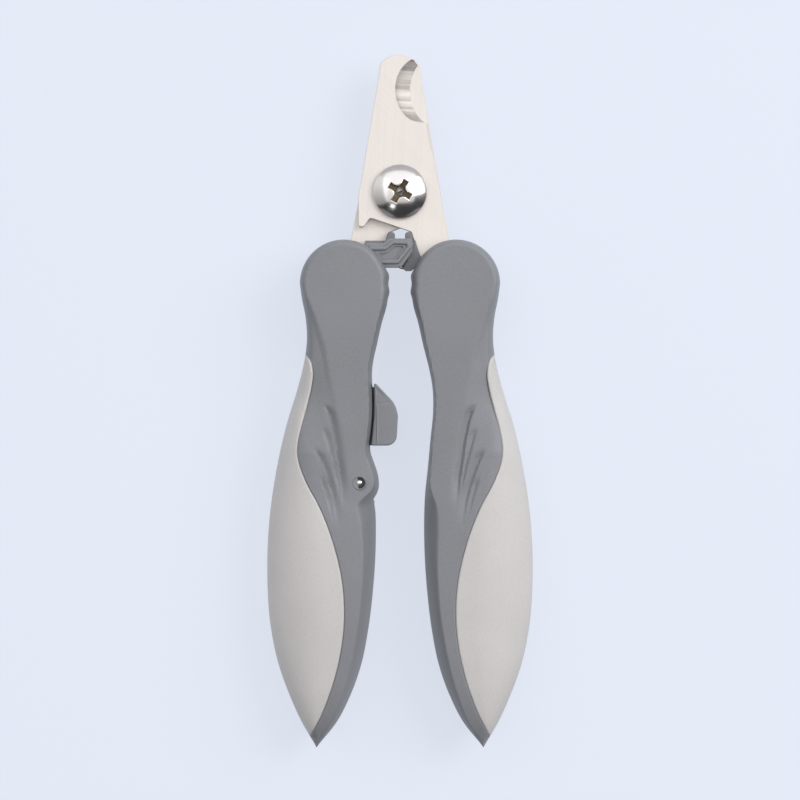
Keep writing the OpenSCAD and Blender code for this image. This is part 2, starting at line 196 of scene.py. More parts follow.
# Height over mid-height, corner widths and corner squareness down the handle.
HEIGHT = [
    (-75, 2.4), (-70, 4.9), (-64, 6.4), (-57, 7.3), (-45, 8.15), (-32, 8.45), (-18, 8.3),
    (-5, 8.1), (8, 8.25), (18, 8.4), (25.4, 8.45),
]
LEFT_CORNER = [
    (-75, 0.5), (-70, 1.4), (-65, 1.9), (-58, 2.4), (-43, 2.5), (-34, 2.8), (-27, 3.3),
    (-22.5, 3.7), (-20.3, 2.2), (-18.5, 1.3), (-14, 1.1), (-2, 1), (18, 1.1), (25.4, 1.6),
]
OUTER_CORNER = [
    (-75, 0.5), (-57, 10), (-35, 12.5), (-18, 9.5), (-8, 6), (2, 3.6), (10, 2.4), (18, 1.8),
    (25.4, 1.6),
]
RIGHT_CORNER = [
    (-75, 0.5), (-70, 1.4), (-65, 1.9), (-58, 2.4), (-43, 2.5), (-34, 2.8), (-27, 3.1),
    (-22.5, 2.6), (-20.3, 1.6), (-18.5, 0.9), (-14, 0.6), (-2, 0.5), (8, 0.6), (18, 1), (25.4, 1.6),
]
INNER_SQUARE = [
    (-75, 1.6), (-50, 1.5), (-30, 1.5), (-24, 1.5), (-22, 1.5), (-19, 1.4), (-12, 1.35),
    (0, 1.35), (10, 1.45), (18, 2.1), (25.4, 2.6),
]
OUTER_SQUARE = [(-75, 2), (-10, 2.1), (5, 2.6), (15, 3), (25.4, 2.6)]
INWARD_TILT = [
    (-75, 0), (-60, 0.07), (-40, 0.12), (-25, 0.15), (-15, 0.14), (-6, 0.07), (3, 0.02), (12, 0),
    (25.4, 0),
]
# The raised face of the head ends in a step down to the outer flank.
FACE_EDGE = [
    (-8, 12.9), (-1, 14), (2.2, 14.6), (6, 15.5), (10.5, 16.35), (14.6, 17.6), (18.8, 19.05),
    (22.2, 20.6), (27, 24), (36, 32),
]
FACE_STEP = [(-9, 0), (-3, 0.05), (3, 0.18), (8, 0.35), (14, 0.65), (20, 0.9), (36, 0.9)]
FACE_SLOPE = [(-11, 0), (-5, 0.12), (2, 0.28), (8, 0.25), (14, 0.12), (20, 0.06), (36, 0)]
FACE_SPREAD = 1.5
# Finger flutes: (y, x) points along each and its depth, a gentle inner side and a steep outer one.
FLUTES = [
    ([(-24, 12.1), (-18, 12.55), (-12.5, 13.3), (-7, 14.2), (-2.7, 15.3), (-0.4, 16.5)], 0.75),
    ([(-23.5, 12.5), (-20, 13), (-15, 14), (-12, 14.7), (-9, 15.5), (-5.4, 16.6)], 0.46),
    ([(-28, 13.2), (-24, 13.75), (-20.5, 14.4), (-16.5, 15.6), (-13, 16.9), (-9.8, 18.5)], 0.6),
    ([(-27.5, 13.9), (-24.5, 14.6), (-21.5, 15.4), (-18.5, 16.3), (-15.8, 17.2)], 0.42),
]
FLUTE_INNER, FLUTE_OUTER = 1.1, 0.22
GRIP_SPAN = (-72.85, 10.3)
GRIP_DEPTH = 1.15
GRIP_SCULPT = 0.55
TONGUE_FLARE = 9
BARE_SHARE = 0.77
SEAM_RIM, GRIP_RIM, RIM_ZONE = 0.3, 0.38, 0.62
PARTING_GAP = 0.06


def fair(points, y):
    """Smooth curve through (y, value) points: cubic pieces whose slopes at a point are those of
    the line between its neighbours. Beyond the ends it stays level."""
    knots, values = np.array(points, float).T
    slopes = np.gradient(values, knots)
    y = np.clip(y, knots[0], knots[-1])
    i = np.clip(np.searchsorted(knots, y) - 1, 0, len(knots) - 2)
    w = knots[i + 1] - knots[i]
    u = (y - knots[i]) / w
    a, b, m, n = values[i], values[i + 1], slopes[i] * w, slopes[i + 1] * w
    return a + u * (m + u * (3 * (b - a) - 2 * m - n + u * (m + n - 2 * (b - a))))


def smooth_step(v):
    """0 below 0, 1 above 1, and an S-curve between."""
    v = np.clip(v, 0, 1)
    return v * v * (3 - 2 * v)


def handle_rows():
    """y of each cross-section and its fan angle: the head's upper half is covered by rays from
    the head's centre, from straight up round to level, and the rest by level rows, which come
    in close pairs at the ends of the grip and the slots."""
    fan = np.radians(np.linspace(90, 0, 50)[:-1])
    edges = [10.32, 10.28, -72.83, -72.87, 21.52, 21.48, -21.68, -21.72, 19.52, 19.48, 4.52, 4.48]
    near_end = GRIP_SPAN[1] - np.linspace(0.1, 1.7, 34) ** 2
    even = np.linspace(TAIL_Y, HEAD_Y, 345)
    level = np.unique(np.concatenate([even, near_end, edges]))[::-1]
    y = np.concatenate([np.full(len(fan), HEAD_Y), level])
    return y, np.concatenate([fan, np.zeros(len(level))])


def section(y, inner, corner):
    """Half section at each row as many points (s, z): a superellipse quarter at the inner edge,
    as wide as corner says, a face that tilts slightly inwards, and a superellipse quarter at
    the outer edge. s runs from -w to w about the row's middle; also returns the middle and the
    length along it."""
    x_in, x_out = fair(inner, y), fair(OUTER, y)
    w = (x_out - x_in) / 2
    height = fair(HEIGHT, y)
    r_in = np.minimum(fair(corner, y), 0.6 * w)
    r_out = np.minimum(fair(OUTER_CORNER, y), 1.3 * w)
    turn = np.linspace(0, np.pi / 2, 90)[None, :]
    k_in = 2 / fair(INNER_SQUARE, y)[:, None]
    k_out = 2 / fair(OUTER_SQUARE, y)[:, None]
    c, s = np.clip(np.cos(turn), 0, 1), np.sin(turn)
    w, r_in, r_out = w[:, None], r_in[:, None], r_out[:, None]
    face = np.linspace(0, 1, 60)[None, 1:-1]
    across = np.concatenate(
        [
            -w + r_in * (1 - c**k_in),
            -w + r_in + face * (2 * w - r_in - r_out),
            (w - r_out * (1 - c**k_out))[:, ::-1],
        ],
        axis=1,
    )
    up = np.concatenate([s**k_in, np.ones((len(y), face.shape[1])), (s**k_out)[:, ::-1]], axis=1)
    lean = np.clip((across + w) / (2 * w - 0.8 * r_out), 0, 1)
    up *= height[:, None] * (1 - fair(INWARD_TILT, y)[:, None] * (1 - lean) ** 2)
    steps = np.hypot(np.diff(across, axis=1), np.diff(up, axis=1))
    along = np.concatenate([np.zeros((len(y), 1)), np.cumsum(steps, axis=1)], axis=1)
    return (x_in + x_out) / 2, across, up, along


def sample(along, values, wanted):
    """Row by row, values at the wanted places along the row."""
    return np.array([np.interp(t, a, v) for t, a, v in zip(wanted, along, values)])


def face_relief(x, y):
    """How far the surface lies under its plain section: an S-curve step at the edge of the
    raised face, a slope that starts there softly, and the flutes, each a bell curve across its
    path that fades in and out along it."""
    beyond = x - fair(FACE_EDGE, y)
    relief = fair(FACE_STEP, y) * smooth_step(beyond / FACE_SPREAD + 0.5)
    past = np.clip(beyond, -1, 7)
    relief += fair(FACE_SLOPE, y) * (np.sqrt(past**2 + 0.06) + past) / 2
    for path, deepest in FLUTES:
        low, high = path[0][0], path[-1][0]
        fade = smooth_step((high - y) / 2.5) * smooth_step((y - low) / 9)
        offset = x - fair(path, y)
        spread = np.where(offset < 0, FLUTE_INNER, FLUTE_OUTER)
        relief += deepest * fade * np.exp(-((offset / spread) ** 2))
    return relief


def stepped_columns(start, end, count, near_start):
    """Lengths from start to end for each row, even but for five close ones by the grip's edge,
    where the rim is rounded over."""
    close = np.array([0, 0.06, 0.16, 0.3, 0.48])
    span = (end - start)[:, None]
    zone = np.minimum(RIM_ZONE, 0.4 * span)
    even = np.linspace(0, 1, count - 4)[None, :]
    if near_start:
        rest = zone + (span - zone) * even
        return start[:, None] + np.concatenate([close[None, :] / RIM_ZONE * zone, rest], axis=1)
    rest = (span - zone) * even
    tail = span - close[::-1][None, :] / RIM_ZONE * zone
    return start[:, None] + np.concatenate([rest, tail], axis=1)


def rounded_rim(distance, radius):
    """Depth of a quarter-circle round-over at this distance from a rim."""
    d = np.clip(distance, 0, radius)
    return radius - np.sqrt(radius**2 - (radius - d) ** 2)


def handle_surface(inner, corner, slot_low, slot_high, slot_half):
    """The two halves of a handle's front skin as grids of (x, y, z): the plastic from the
    inner edge to the grip's edge, and the grip's part from there to the outer edge. Columns
    are spread by length along each section, and only the outermost follow the grip's edge
    where it turns sharply. The same rows also give the stepped core under the grip."""
    y, fan = handle_rows()
    middle, across, up, along = section(y, inner, corner)
    total = along[:, -1]
    x_grip = fair(GRIP_EDGE, y)
    gripped = (y < GRIP_SPAN[1]) & (y > GRIP_SPAN[0]) & (fan == 0)
    at_edge = sample(across, along, (x_grip - middle)[:, None])[:, 0]
    tongue = total - TONGUE_FLARE * np.sqrt(np.clip(GRIP_SPAN[1] + 0.02 - y, 0.0002, 40))
    share = np.minimum(np.maximum(at_edge, tongue) / total, 0.985)
    beyond = smooth_step(np.where(y > 0, (y - GRIP_SPAN[1]) / 7, (GRIP_SPAN[0] - y) / 2.2))
    ends = np.where(y > 0, share[gripped][0], share[gripped][-1])
    edge = total * np.where(gripped, share, ends + (BARE_SHARE - ends) * beyond)
    in_slot = (y > slot_low) & (y < slot_high) & (fan == 0)
    floor = np.where(in_slot, slot_half, PARTING_GAP)
    start = np.array([np.interp(f, u[:80], t[:80]) for f, u, t in zip(floor, up, along)])
    lean = np.hypot(1, (fair(GRIP_EDGE, y + 0.1) - fair(GRIP_EDGE, y - 0.1)) / 0.2)

    def lift(wanted, inset, rim, sculpt):
        """The skin's points at these lengths, sunk by the relief, then moved in along the
        section's normal by inset and rim, and fanned round the head."""
        s, z = sample(along, across, wanted), sample(along, up, wanted)
        ds, dz = np.gradient(s, axis=1), np.gradient(z, axis=1)
        norm = np.hypot(ds, dz) + 1e-9
        x = middle[:, None] + s * np.cos(fan)[:, None]
        row_y = y[:, None] + np.abs(s) * np.sin(fan)[:, None]
        z = z - sculpt * face_relief(x, row_y) * np.clip(z / 3, 0, 1)
        depth = inset[:, None] + rim
        x = x + depth * dz / norm * np.cos(fan)[:, None]
        z = z - depth * ds / norm
        bump = np.exp(-(((row_y - 27.3) / 1.2) ** 2)) + np.exp(-(((row_y - 23.7) / 1.2) ** 2))
        x = x - 0.4 * bump * np.clip(-s / HEAD_R * 6 - 5, 0, 1)
        return np.stack([x, row_y, np.maximum(z, PARTING_GAP)], axis=-1)

    none = np.zeros(len(y))
    settled = np.interp(3.5, y[::-1], (edge / total)[::-1])
    base = total * np.interp(y, [3.5, 17.3], [settled, BARE_SHARE])
    base = np.where((y > 3.5) & (y < 17.3) & (edge > base), base, edge)
    plastic_at = stepped_columns(start, base, 74, False)
    plastic_at += ((edge - base) * ((plastic_at.T - start) / (base - start)) ** 7).T
    rim = rounded_rim((edge[:, None] - plastic_at) / lean[:, None], SEAM_RIM) * gripped[:, None]
    plastic = lift(plastic_at, none, rim, 1)
    grip_at = stepped_columns(edge, total, 46, True)
    rim = rounded_rim((grip_at - edge[:, None]) / lean[:, None], GRIP_RIM)
    grip = lift(grip_at, none, rim, GRIP_SCULPT)
    bare = lift(grip_at, none, none[:, None], 1)
    core = lift(grip_at, none + GRIP_DEPTH, none[:, None], GRIP_SCULPT)
    core = np.where(gripped[:, None, None], core, bare)
    inside = lift(grip_at, none + GRIP_DEPTH - 0.08, none[:, None], GRIP_SCULPT)
    return {
        "y": y, "gripped": gripped, "floor": floor, "plastic": plastic, "grip": grip,
        "core": core, "inside": inside,
    }


def ring_faces(rows, columns):
    """Quads between neighbouring rows of a closed ring of columns."""
    r = np.arange(rows - 1)[:, None] * columns
    c = np.arange(columns)[None, :]
    d = (c + 1) % columns
    return np.stack([r + c, r + d, r + columns + d, r + columns + c], axis=-1).reshape(-1, 4)


def make_piece(name, points, faces, material, body, stands_for=(), sharp=32, marks=None):
    """Puts points in millimetres and faces into a mesh, merges doubles, turns it outwards, shades
    it smooth but for edges over the sharp angle, gives it its body and hides the CAD parts it
    stands for. marks holds named values, one for each point."""
    mesh = bpy.data.meshes.new(name)
    placed = np.asarray(points, float).reshape(-1, 3) * MM
    mesh.from_pydata(placed.tolist(), [], [list(map(int, f)) for f in faces])
    for label, values in (marks or {}).items():
        mesh.attributes.new(label, "FLOAT", "POINT").data.foreach_set("value", values.ravel())
    work = bmesh.new()
    work.from_mesh(mesh)
    bmesh.ops.remove_doubles(work, verts=work.verts, dist=2e-7)
    bmesh.ops.dissolve_degenerate(work, edges=work.edges, dist=1e-7)
    if work.calc_volume(signed=True) < 0:
        bmesh.ops.reverse_faces(work, faces=work.faces)
    work.to_mesh(mesh)
    work.free()
    mesh.shade_smooth()
    mesh.set_sharp_from_angle(angle=math.radians(sharp))
    mesh.materials.append(material)
    piece = bpy.data.objects.new(name, mesh)
    bpy.context.scene.collection.objects.link(piece)
    if body:
        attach(piece, body)
    if stands_for:
        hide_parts(*stands_for)
    return piece


def placed_grid(grid, side, face):
    """A handle grid moved into the frame: side is 1 on the right, face is 1 in front."""
    return grid * np.array([side, 1, face]) + LIFT


def shell_ring(skin, slot_x):
    """Closed rings: plastic skin, core under the grip, parting face, and the slot's walls."""
    plastic, core, floor = skin["plastic"], skin["core"], skin["floor"]
    y = plastic[:, 0, 1]
    wall = np.clip(slot_x, plastic[:, 0, 0] + 0.1, core[:, -1, 0] - 0.1)
    inner = np.stack([wall, y, np.full(len(y), PARTING_GAP)], axis=-1)
    roof = np.stack([wall, y, floor], axis=-1)
    return np.concatenate([plastic, core, inner[:, None], roof[:, None]], axis=1)


def grain_group():
    """Moulded grain: fine noise for the height, the same noise and a broad one for the tone."""
    group = bpy.data.node_groups.new("moulded_grain", "ShaderNodeTree")
    for name, kind in (("Size", "Float"), ("Speckle", "Float"), ("Colour", "Color")):
        group.interface.new_socket(name, in_out="INPUT", socket_type="NodeSocket" + kind)
    for name, kind in (("Height", "Float"), ("Tinted", "Color"), ("Sheen", "Float")):
        group.interface.new_socket(name, in_out="OUTPUT", socket_type="NodeSocket" + kind)
    given = group.nodes.new("NodeGroupInput").outputs
    place = group.nodes.new("ShaderNodeTexCoord").outputs["Object"]
    fine = shader_node(
        group, "ShaderNodeTexNoise",
        {"Vector": place, "Scale": given["Size"], "Detail": 3, "Roughness": 0.6},
    ).outputs["Fac"]
    broad = shader_node(
        group, "ShaderNodeTexNoise", {"Vector": place, "Scale": 70, "Detail": 3}
    ).outputs["Fac"]
    tone = shader_node(
        group, "ShaderNodeMapRange",
        {"Value": fine, "From Min": 0.25, "From Max": 0.75, "To Min": -1, "To Max": 1},
    ).outputs[0]
    drift = shader_node(
        group, "ShaderNodeMapRange",
        {"Value": broad, "From Min": 0.3, "From Max": 0.7, "To Min": 0.97, "To Max": 1.03},
    ).outputs[0]
    speckled = shader_node(
        group, "ShaderNodeMath", {0: tone, 1: given["Speckle"], 2: 1}, operation="MULTIPLY_ADD"
    ).outputs[0]
    value = shader_node(
        group, "ShaderNodeMath", {0: speckled, 1: drift}, operation="MULTIPLY"
    ).outputs[0]
    tinted = shader_node(
        group, "ShaderNodeHueSaturation", {"Color": given["Colour"], "Value": value}
    ).outputs[0]
    sheen = shader_node(
        group, "ShaderNodeMapRange",
        {"Value": fine, "From Min": 0.3, "From Max": 0.7, "To Min": -0.05, "To Max": 0.05},
    ).outputs[0]
    result = group.nodes.new("NodeGroupOutput").inputs
    group.links.new(fine, result["Height"])
    group.links.new(tinted, result["Tinted"])
    group.links.new(sheen, result["Sheen"])
    return group


GRAIN = grain_group()


def grained_material(name, colour, roughness, size, speckle, bump, **surface):
    """A moulded plastic or rubber whose colour, gloss and height carry the moulded grain."""
    material, tree, shader = new_material(name, **surface)
    grain = tree.nodes.new("ShaderNodeGroup")
    grain.node_tree = GRAIN
    for label, value in (("Size", size), ("Colour", (*colour, 1)), ("Speckle", speckle)):
        grain.inputs[label].default_value = value
    tree.links.new(grain.outputs["Tinted"], shader.inputs["Base Color"])
    gloss = shader_node(
        tree, "ShaderNodeMath", {0: grain.outputs["Sheen"], 1: roughness}, operation="ADD"
    )
    tree.links.new(gloss.outputs[0], shader.inputs["Roughness"])
    relief = shader_node(
        tree, "ShaderNodeBump",
        {"Height": grain.outputs["Height"], "Strength": 1, "Distance": bump},
    )
    tree.links.new(relief.outputs["Normal"], shader.inputs["Normal"])
    return material


slate_plastic = grained_material(
    "slate_plastic", (0.198, 0.203, 0.217), 0.5, 3200, 0.1, 0.00003, Specular_IOR_Level=0.4
)
SLOT_HALF = 1.7
SKINS = {
    "left": handle_surface(LEVER_INNER, LEFT_CORNER, -21.7, 21.5, SLOT_HALF),
    "right": handle_surface(INNER, RIGHT_CORNER, 4.5, 19.5, SLOT_HALF),
}
SLOT_REACH = {"left": 12.8, "right": 10.9}
SIDE = {"left": -1, "right": 1}
FACE = {"front": 1, "back": -1}
for hand, skin in SKINS.items():
    ring = shell_ring(skin, SLOT_REACH[hand])
    rows, columns = ring.shape[:2]
    caps = [list(range(columns)), list(range((rows - 1) * columns, rows * columns))[::-1]]
    for half, sign in FACE.items():
        make_piece(
            f"{hand}_{half}_moulding",
            placed_grid(ring, SIDE[hand], sign),
            list(ring_faces(rows, columns)) + caps[1:],
            slate_plastic, f"{hand}_handle", [f"{hand}_{half}_shell"],
        )

# ---------------------------------------------------------------- soft grips
# Light grey thermoplastic rubber moulded over the outer side of each handle, front to back,
# in the stepped-down seat of the two halves, with a rounded rim and a fine groove round it.
soft_rubber = grained_material(
    "soft_rubber", (0.515, 0.495, 0.48), 0.62, 2600, 0.05, 0.00002, Specular_IOR_Level=0.3
)
for hand, skin in SKINS.items():
    keep = skin["gripped"]
    flip = np.array([1, 1, -1])
    outside, inside = skin["grip"][keep], skin["inside"][keep]
    ring = np.concatenate(
        [outside, outside[:, ::-1] * flip, inside * flip, inside[:, ::-1]], axis=1
    )
    rows, columns = ring.shape[:2]
    caps = [list(range(columns))[::-1], list(range((rows - 1) * columns, rows * columns))]
    make_piece(
        f"{hand}_grip_skin",
        placed_grid(ring, SIDE[hand], 1),
        list(ring_faces(rows, columns)) + caps,
        soft_rubber, f"{hand}_handle", [f"{hand}_soft_grip"],
    )

# ---------------------------------------------------------------- blades
# Two identical plates of ground stainless steel, face to face, the rear one turned over. Each
# has a claw notch with a hollow-ground cutting edge and a tang that runs into its handle.
HALF_GAP = 0.025
PLATE_TOP = 2.0
BLADE_CORNERS = [
    (18.4, 8.4, 0.4), (18.4, 22.6, 1), (10.6, 35.3, 1.5), (10.0, 38.5, 3), (7.95, 48.9, 9),
    (5.95, 60.4, 0),
]
TIP_CENTRE, TIP_R = (-0.3, 70.0), 5.05
LEFT_CORNERS = [
    (-4.33, 72.95, 0), (-4.7, 69.8, 3), (-8.0, 50.2, 6),
    (-9.0, 44.2, 5), (-9.0, 37.8, 0.6), (-7.9, 37.7, 0.9), (-6.5, 39.7, 0.7), (0, 37.5, 0.3),
    (2.5, 36.6, 0.5), (3.2, 34.4, 1.5), (6, 27, 2), (13.2, 21.1, 3), (13.2, 8.4, 0.4),
]


def rounded_path(corners, closed, step=0.35):
    """Points along straight lines with each corner (x, y, r) rounded to radius r: a corner's
    arc runs from one tangent point to the other, swung round the arc's centre."""
    c = np.array(corners, float)
    spots, radii = c[:, :2], c[:, 2]
    pieces = []
    for k, (spot, radius) in enumerate(zip(spots, radii)):
        if not closed and k in (0, len(c) - 1) or radius == 0:
            pieces.append(spot[None])
            continue
        u = spots[k - 1] - spot
        v = spots[(k + 1) % len(c)] - spot
        reach = 0.48 * min(np.hypot(*u), np.hypot(*v))
        u, v = u / np.hypot(*u), v / np.hypot(*v)
        half = math.acos(np.clip(u @ v, -1, 1)) / 2
        tangent = min(radius / math.tan(half), reach)
        middle = spot + (u + v) / np.linalg.norm(u + v) * tangent / math.cos(half)
        a, b = spot + u * tangent - middle, spot + v * tangent - middle
        swing = math.pi - 2 * half
        t = np.linspace(0, 1, max(3, int(swing * 7) + 2))[:, None]
        arc = np.sin((1 - t) * swing) * a + np.sin(t * swing) * b
        pieces.append(middle + arc / math.sin(swing))
    line = np.concatenate(pieces + ([pieces[0][:1]] if closed else []))
    gaps = np.hypot(*np.diff(line, axis=0).T)
    line = line[np.concatenate([[True], gaps > 1e-6])]
    gaps = gaps[gaps > 1e-6]
    counts = np.maximum(1, np.ceil(gaps / step)).astype(int)
    start = np.concatenate([[0], np.cumsum(gaps)])
    along = np.concatenate([a + np.arange(n) * g / n for a, g, n in zip(start, gaps, counts)])
    if not closed:
        along = np.append(along, start[-1])
    return np.stack([np.interp(along, start, line[:, 0]), np.interp(along, start, line[:, 1])], 1)


def inward(loop):
    """Unit normals of a closed anticlockwise loop, pointing in."""
    t = np.roll(loop, -1, axis=0) - np.roll(loop, 1, axis=0)
    return np.stack([-t[:, 1], t[:, 0]], 1) / np.hypot(*t.T)[:, None]


def flat_cap(loops, spacing):
    """Triangles over the flat region between closed loops of (x, y, z), all at one height, with
    a grid of points added inside so that the triangles stay even. Returns points and faces."""
    flat = np.concatenate(loops)
    z = flat[0, 2]
    edges, start = [], 0
    for loop in loops:
        n = np.arange(len(loop))
        edges.append(np.stack([n + start, (n + 1) % len(loop) + start], 1))
        start += len(loop)
    edges = np.concatenate(edges)
    a, b = flat[edges[:, 0], :2], flat[edges[:, 1], :2]

    def inside(spots):
        """True where a ray to the right crosses the loops an odd number of times."""
        x, y = spots[:, :1], spots[:, 1:]
        spans = (a[:, 1] > y) != (b[:, 1] > y)
        rise = np.where(b[:, 1] == a[:, 1], 1, b[:, 1] - a[:, 1])
        cross = a[:, 0] + (y - a[:, 1]) * (b[:, 0] - a[:, 0]) / rise
        return (spans & (x < cross)).sum(axis=1) % 2 == 1

    low, high = flat[:, :2].min(axis=0), flat[:, :2].max(axis=0)
    grid = np.stack(np.meshgrid(*[np.arange(l, h, spacing) for l, h in zip(low, high)]), -1)
    grid = grid.reshape(-1, 2)
    near = np.hypot(*(grid[:, None] - flat[None, :, :2]).transpose(2, 0, 1)).min(axis=1)
    grid = grid[inside(grid) & (near > min(0.6, spacing))]
    spots = np.concatenate([flat[:, :2], grid])
    found = delaunay_2d_cdt(spots.tolist(), edges.tolist(), [], 0, 1e-5)
    verts, faces = np.array(found[0]), np.array(found[2])
    faces = faces[inside(verts[faces].mean(axis=1))]
    return np.column_stack([verts, np.full(len(verts), z)]), faces


def joined(parts):
    """Point and face lists of several closed surfaces as one."""
    points = [np.asarray(p, float).reshape(-1, 3) for p, _ in parts]
    starts = np.cumsum([0] + [len(p) for p in points])
    faces = [[int(i) + int(n) for i in f] for (_, fs), n in zip(parts, starts) for f in fs]
    return np.concatenate(points), faces


def plate(loops, profile, tops=None, spacing=1.3):
    """A plate from closed loops, the first outside and the rest holes. profile holds (inset, z,
    share) rows from the lower face up; share moves each loop towards its partner in tops."""
    walls, lower, upper = [], [], []
    for k, loop in enumerate(loops):
        top = loop if tops is None else tops[k]
        side = inward(loop) * (1 if k == 0 else -1)
        grid = np.stack(
            [
                np.column_stack([loop + (top - loop) * f + side * d, np.full(len(loop), z)])
                for d, z, f in profile
            ]
        )
        walls.append((grid, ring_faces(*grid.shape[:2])))
        lower.append(grid[0])
        upper.append(grid[-1])
    low_points, low_faces = flat_cap(lower, spacing)
    return joined(walls + [(low_points, low_faces[:, ::-1]), flat_cap(upper, spacing)])


def rim_profile(z_low, z_high, radius):
    """Profile rows of a plate whose two rims are rounded to a radius."""
    turn = np.linspace(0, np.pi / 2, 5)
    low = [(radius * (1 - math.sin(a)), z_low + radius * (1 - math.cos(a)), 0) for a in turn]
    return low + [(d, z_low + z_high - z, 0) for d, z, _ in low[::-1]]


def circle(x, y, r, n=64):
    """Points evenly round a circle about (x, y), anticlockwise."""
    a = np.linspace(0, 2 * np.pi, n, endpoint=False)
    return np.stack([x + r * np.cos(a), y + r * np.sin(a)], 1)


def ellipse_arc(x, y, a, b, start, end, n):
    """Points on an ellipse with half axes a and b, from one angle in degrees to another."""
    t = np.radians(np.linspace(start, end, n))
    return np.stack([x + a * np.cos(t), y + b * np.sin(t)], 1)


def ground_steel():
    """Satin steel: fine grinding scratches in two directions, a warm tint, and darker bands
    across the hollow-ground notch where the mark is set."""
    material, tree, shader = new_material("ground_steel", Metallic=0.45)
    place = tree.nodes.new("ShaderNodeTexCoord").outputs["Object"]
    heights = []
    for angle, stretch in ((0.75, (60, 4200, 60)), (0.05, (2600, 40, 40))):
        turned = shader_node(
            tree, "ShaderNodeMapping", {"Vector": place, "Rotation": (0, 0, angle)}
        ).outputs[0]
        spread = shader_node(
            tree, "ShaderNodeMapping", {"Vector": turned, "Scale": stretch}
        ).outputs[0]
        heights.append(
            shader_node(
                tree, "ShaderNodeTexNoise", {"Vector": spread, "Scale": 1, "Detail": 4}
            ).outputs["Fac"]
        )
    scratches = shader_node(
        tree, "ShaderNodeMath", {0: heights[0], 1: heights[1]}, operation="MULTIPLY"
    ).outputs[0]
    smudge = shader_node(
        tree, "ShaderNodeTexNoise", {"Vector": place, "Scale": 110, "Detail": 3}
    ).outputs["Fac"]
    tone = shader_node(
        tree, "ShaderNodeMix",
        {"Factor": scratches, "A": (0.65, 0.6, 0.56, 1), "B": (0.82, 0.765, 0.72, 1)},
        data_type="RGBA",
    ).outputs[2]
    mark = shader_node(tree, "ShaderNodeAttribute", attribute_name="ground").outputs["Fac"]
    rows = shader_node(
        tree, "ShaderNodeMapping", {"Vector": place, "Scale": (20, 900, 60)}
    ).outputs[0]
    bands = shader_node(
        tree, "ShaderNodeTexNoise", {"Vector": rows, "Scale": 1, "Detail": 2}
    ).outputs["Fac"]
    dark = shader_node(
        tree, "ShaderNodeMapRange",
        {"Value": bands, "From Min": 0.4, "From Max": 0.62, "To Min": 0.5, "To Max": 0.85},
    ).outputs[0]
    shade = shader_node(
        tree, "ShaderNodeMix", {"Factor": mark, "A": 1.0, "B": dark}, data_type="FLOAT"
    ).outputs[0]
    colour = shader_node(tree, "ShaderNodeHueSaturation", {"Color": tone, "Value": shade})
    tree.links.new(colour.outputs[0], shader.inputs["Base Color"])
    gloss = shader_node(
        tree, "ShaderNodeMapRange",
        {"Value": smudge, "From Min": 0.3, "From Max": 0.7, "To Min": 0.36, "To Max": 0.46},
    )
    dull = shader_node(
        tree, "ShaderNodeMix", {"Factor": mark, "A": gloss.outputs[0], "B": 0.6},
        data_type="FLOAT",
    )
    tree.links.new(dull.outputs[0], shader.inputs["Roughness"])
    relief = shader_node(
        tree, "ShaderNodeBump", {"Height": scratches, "Strength": 0.5, "Distance": 0.00001}
    )
    tree.links.new(relief.outputs[0], shader.inputs["Normal"])
    return material


steel = ground_steel()
# The notch's wall runs from one ellipse on the lower face to a second, further in, on the upper
# face, and most of the way is covered near the lower face: that makes it hollow ground.
right_side = rounded_path(BLADE_CORNERS, False)
tip = ellipse_arc(*TIP_CENTRE, TIP_R, TIP_R, 50, 143, 40)
rest = np.concatenate([tip[1:], rounded_path(LEFT_CORNERS, False)])
corner = tip[0]
edge_low = ellipse_arc(7.8, 67.4, 5.5, 7.6, 245, 134.6, 60)
edge_high = ellipse_arc(4.5, 67.4, 5.5, 7.0, 278, 107, 60)
steps = np.linspace(0, 1, 9)[1:, None]
edge_low = np.concatenate([edge_low, edge_low[-1] + steps * (corner - edge_low[-1])])
edge_high = np.concatenate([edge_high, edge_high[-1] + steps * (corner - edge_high[-1])])
flat = smooth_step((right_side[:-1, 1] - 52.5) / 3) * smooth_step((64 - right_side[:-1, 1]) / 0.8)
slant = np.stack([flat, 0 * flat], 1)
low_loop = np.concatenate([right_side[:-1] + 0.12 * slant, edge_low, rest])
high_loop = np.concatenate([right_side[:-1] - 0.3 * slant, edge_high, rest])
in_notch = np.zeros(len(low_loop))
in_notch[len(right_side) - 1 : len(right_side) - 1 + len(edge_low)] = 1
heights = np.array([0, 0.03, 0.06, 0.12, 0.2, 0.32, 0.46, 0.62, 0.8, 0.94, 1])
shares = 1 - (1 - heights) ** 1.8
insets = 0.1 * np.maximum(np.clip(1 - heights / 0.06, 0, 1), np.clip((heights - 0.94) / 0.06, 0, 1))
PIVOT_Y = JOINT_SPOTS["blade_pivot"][1] / MM
BORE_R = 3.05
bore = circle(0, PIVOT_Y, BORE_R)
profile = [
    (d, HALF_GAP + h * (PLATE_TOP - HALF_GAP), f) for d, h, f in zip(insets, heights, shares)
]
points, faces = plate([low_loop, bore[::-1]], profile, [high_loop, bore[::-1]])
ground = np.zeros(len(points))
ground[: len(low_loop) * (len(profile) - 1)] = np.tile(in_notch, len(profile) - 1)
for node, body, turn in (("front_blade", "right_handle", 1), ("rear_blade", "left_handle", -1)):
    make_piece(
        f"{node}_plate", points * np.array([turn, 1, turn]) + LIFT, faces, steel,
        body, [node], sharp=24, marks={"ground": ground},
    )

# ---------------------------------------------------------------- pivot
# A chromed screw with a domed head and a cross recess, a thin washer under it, and a domed nut
# on the back. Turned parts, drawn as profiles round their axis.


